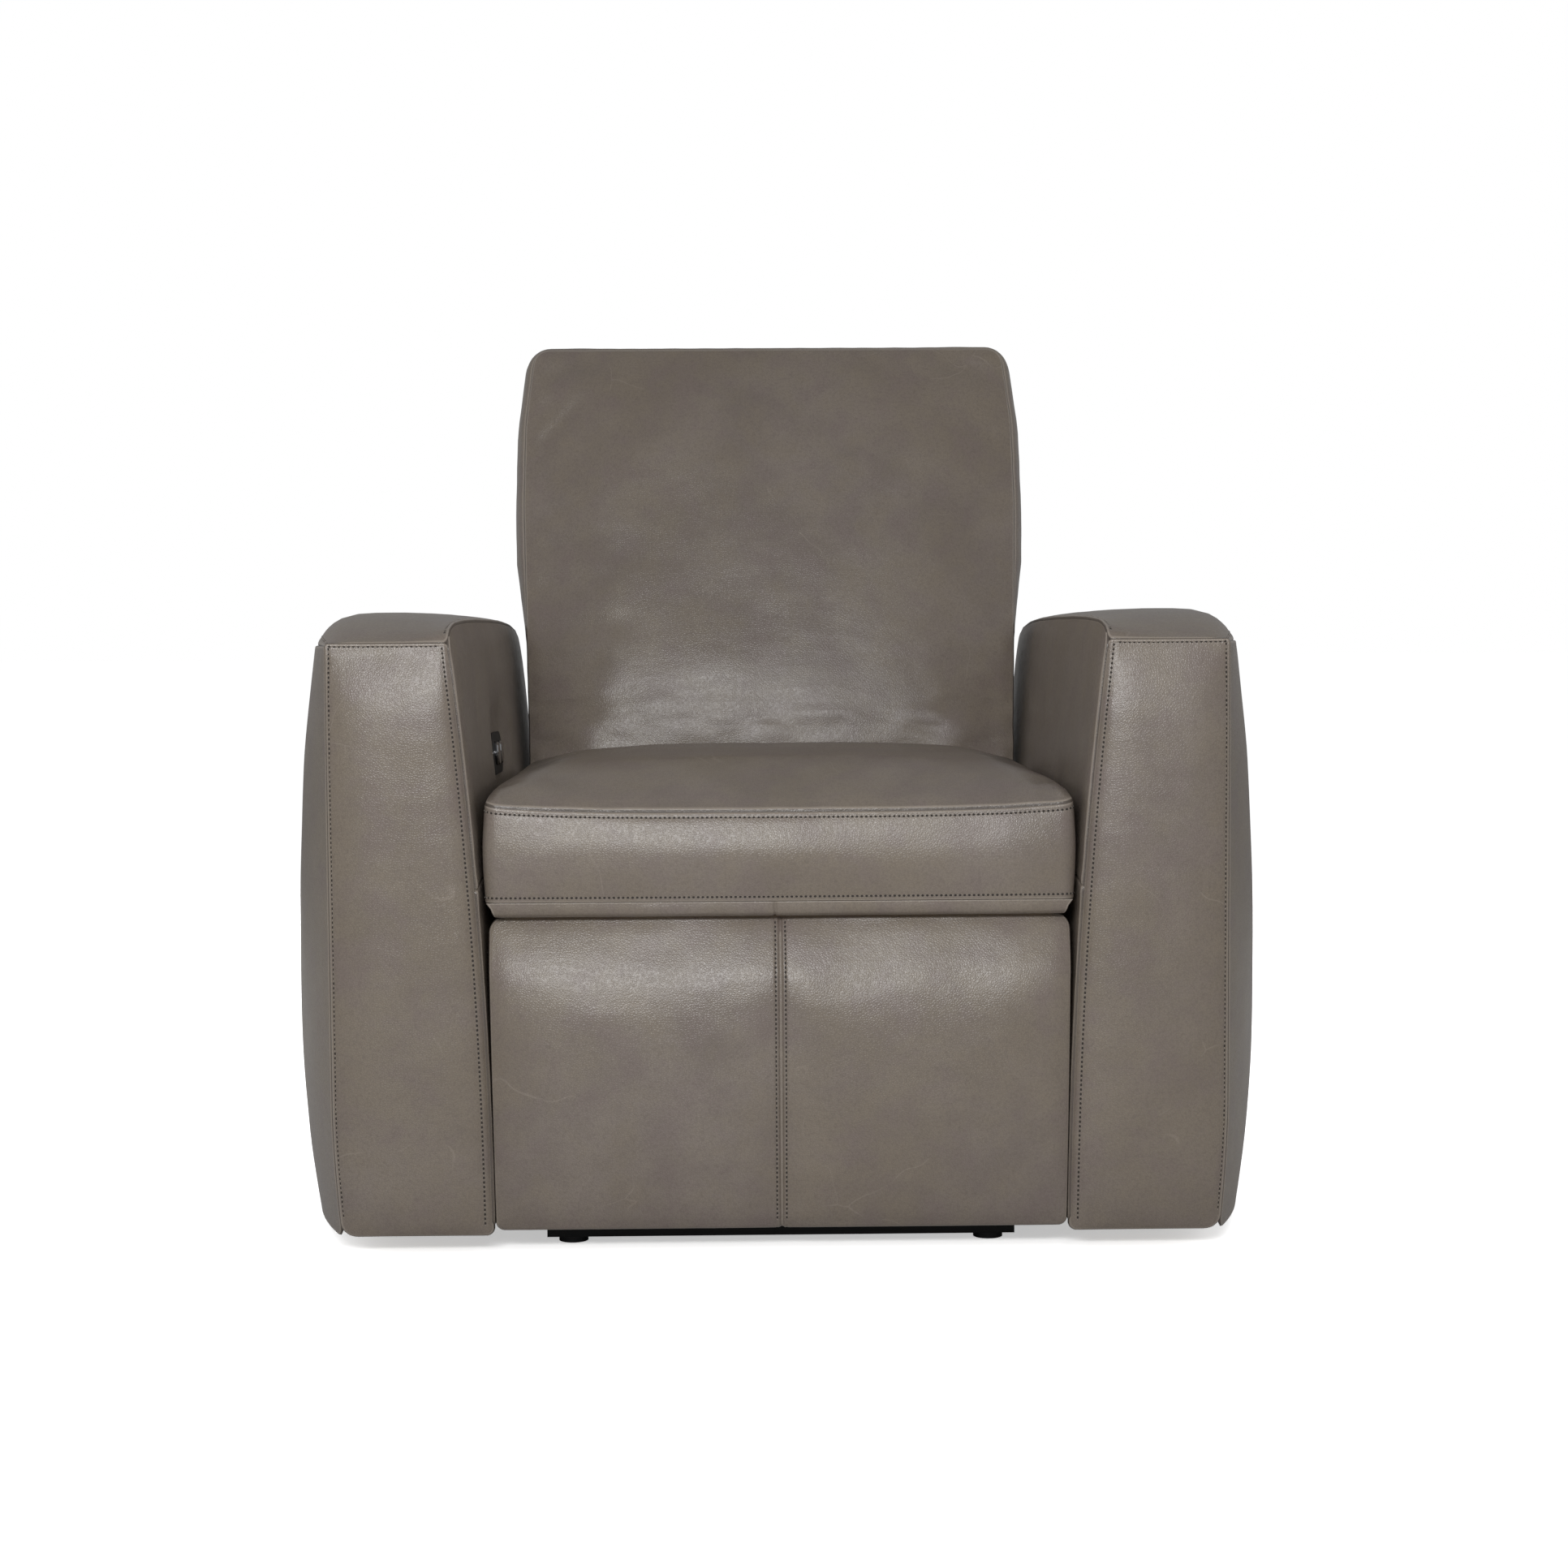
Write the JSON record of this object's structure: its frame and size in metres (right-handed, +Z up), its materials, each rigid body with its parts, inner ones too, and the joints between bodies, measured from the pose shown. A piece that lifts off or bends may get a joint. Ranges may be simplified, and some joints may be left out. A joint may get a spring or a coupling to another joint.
{
  "type": "cinema recliner seat",
  "caption": "Home-cinema power recliner seat: leather-covered arms, crowned seat cushion, tall back and fold-out footrest on a sliding steel mechanism",
  "frame": {"origin": "on the floor under the middle of the seat's overall box", "axes": "+Z up, +X to the right of someone facing the front of the seat, -Y out of the front"},
  "size_m": [1.03, 0.8781, 0.9784],
  "materials": {
    "upholstery": "semi-matte taupe leather with fine grain",
    "black_steel": "black powder coat",
    "zinc_steel": "zinc-plated steel",
    "plywood": "bare hardwood plywood",
    "black_plastic": "moulded black plastic",
    "webbing": "woven black cloth",
    "button_chrome": "polished chrome"
  },
  "bodies": {
    "base": {"base_front_tube": "black_steel", "base_rear_tube": "black_steel", "base_side_tubes": "black_steel", "arm_bars": "black_steel", "track_left": "zinc_steel", "track_right": "zinc_steel", "feet": "black_plastic", "kick_panel": "upholstery", "kick_brackets": "zinc_steel", "control_box": "black_plastic", "switch_plate": "black_plastic", "switch_housing": "black_plastic", "recline_brackets": "zinc_steel", "arm_bolts": "zinc_steel", "arm_frame_left": "plywood", "arm_frame_right": "plywood", "arm_outer_pad_left": "upholstery", "arm_outer_pad_right": "upholstery", "arm_inner_pad_left": "upholstery", "arm_inner_pad_right": "upholstery", "arm_top_pad_left": "upholstery", "arm_top_pad_right": "upholstery", "arm_front_pad_left": "upholstery", "arm_front_pad_right": "upholstery", "arm_rear_panel_left": "upholstery", "arm_rear_panel_right": "upholstery"},
    "carriage": {"plate_left": "zinc_steel", "plate_right": "zinc_steel", "runners": "black_plastic", "carriage_tubes": "black_steel", "seat_frame": "plywood", "deck_board": "plywood", "deck_pad": "webbing", "seat_springs": "zinc_steel", "seat_lip": "upholstery", "seat_cushion": "upholstery", "pivot_pins": "zinc_steel", "motor": "black_steel", "gearbox": "black_plastic", "drive_rail": "zinc_steel", "lead_screw": "zinc_steel"},
    "back": {"back_frame": "plywood", "back_straps": "webbing", "back_cushion": "upholstery", "back_rear_cover": "upholstery", "back_brackets": "zinc_steel"},
    "recline_link": {"recline_links": "zinc_steel"},
    "drive_shaft": {"drive_tube": "black_steel", "front_links": "zinc_steel"},
    "hanger": {"hanger_links": "zinc_steel"},
    "guide": {"guide_links": "zinc_steel"},
    "lift": {"lift_links": "zinc_steel"},
    "footrest": {"footrest_board": "plywood", "footrest_pad": "upholstery", "footrest_brackets": "zinc_steel"},
    "drive_block": {"drive_block": "black_plastic"},
    "drive_link": {"drive_links": "zinc_steel"},
    "button_open": {"button_open": "button_chrome"},
    "button_close": {"button_close": "button_chrome"}
  },
  "joints": [
    {"name": "recline_slide", "type": "slide", "parent": "base", "child": "carriage", "axis": [0, -1, 0], "range_m": [0, 0.07]},
    {"name": "back_recline", "type": "hinge", "parent": "carriage", "child": "back", "pos_m": [0, 0.185, 0.285], "axis": [-1, 0, 0], "range_deg": [0, 38]},
    {"name": "recline_link_turn", "type": "hinge", "parent": "base", "child": "recline_link", "pos_m": [0, 0.066, 0.092], "axis": [1, 0, 0], "range_deg": [0, 51.2]},
    {"name": "footrest_open", "type": "hinge", "parent": "carriage", "child": "drive_shaft", "pos_m": [0, -0.285, 0.258], "axis": [-1, 0, 0], "range_deg": [0, 155]},
    {"name": "hanger_turn", "type": "hinge", "parent": "carriage", "child": "hanger", "pos_m": [0, -0.369, 0.274], "axis": [-1, 0, 0], "range_deg": [0, 149.7]},
    {"name": "guide_turn", "type": "hinge", "parent": "hanger", "child": "guide", "pos_m": [0, -0.26237, 0.20877], "axis": [1, 0, 0], "range_deg": [0, 145.5]},
    {"name": "lift_turn", "type": "hinge", "parent": "drive_shaft", "child": "lift", "pos_m": [0, -0.135, 0.203], "axis": [1, 0, 0], "range_deg": [0, 126]},
    {"name": "footrest_turn", "type": "hinge", "parent": "lift", "child": "footrest", "pos_m": [0, -0.358, 0.168], "axis": [-1, 0, 0], "range_deg": [0, 69]},
    {"name": "drive_block_slide", "type": "slide", "parent": "carriage", "child": "drive_block", "axis": [0, -1, 0], "range_m": [0, 0.1798]},
    {"name": "drive_link_turn", "type": "hinge", "parent": "drive_block", "child": "drive_link", "pos_m": [0, -0.02, 0.208], "axis": [1, 0, 0], "range_deg": [0, 8.1]},
    {"name": "button_open_press", "type": "slide", "parent": "base", "child": "button_open", "axis": [-0.9962, 0, -0.0867], "range_m": [0, 0.0025], "stiffness_N_per_m": 900, "springref_m": -0.0015},
    {"name": "button_close_press", "type": "slide", "parent": "base", "child": "button_close", "axis": [-0.9962, 0, -0.0867], "range_m": [0, 0.0025], "stiffness_N_per_m": 900, "springref_m": -0.0015}
  ],
  "couplings": [
    {"joint": "back_recline", "follows": "recline_slide", "rad_per_m": 9.4746},
    {"joint": "recline_link_turn", "follows": "recline_slide", "rad_per_m": 12.751},
    {"joint": "hanger_turn", "follows": "footrest_open", "ratio": 0.96526},
    {"joint": "guide_turn", "follows": "footrest_open", "ratio": 0.93867},
    {"joint": "lift_turn", "follows": "footrest_open", "ratio": 0.8129},
    {"joint": "footrest_turn", "follows": "footrest_open", "ratio": 0.44516},
    {"joint": "drive_block_slide", "follows": "footrest_open", "m_per_rad": 0.066445},
    {"joint": "drive_link_turn", "follows": "footrest_open", "ratio": 0.051817}
  ]
}
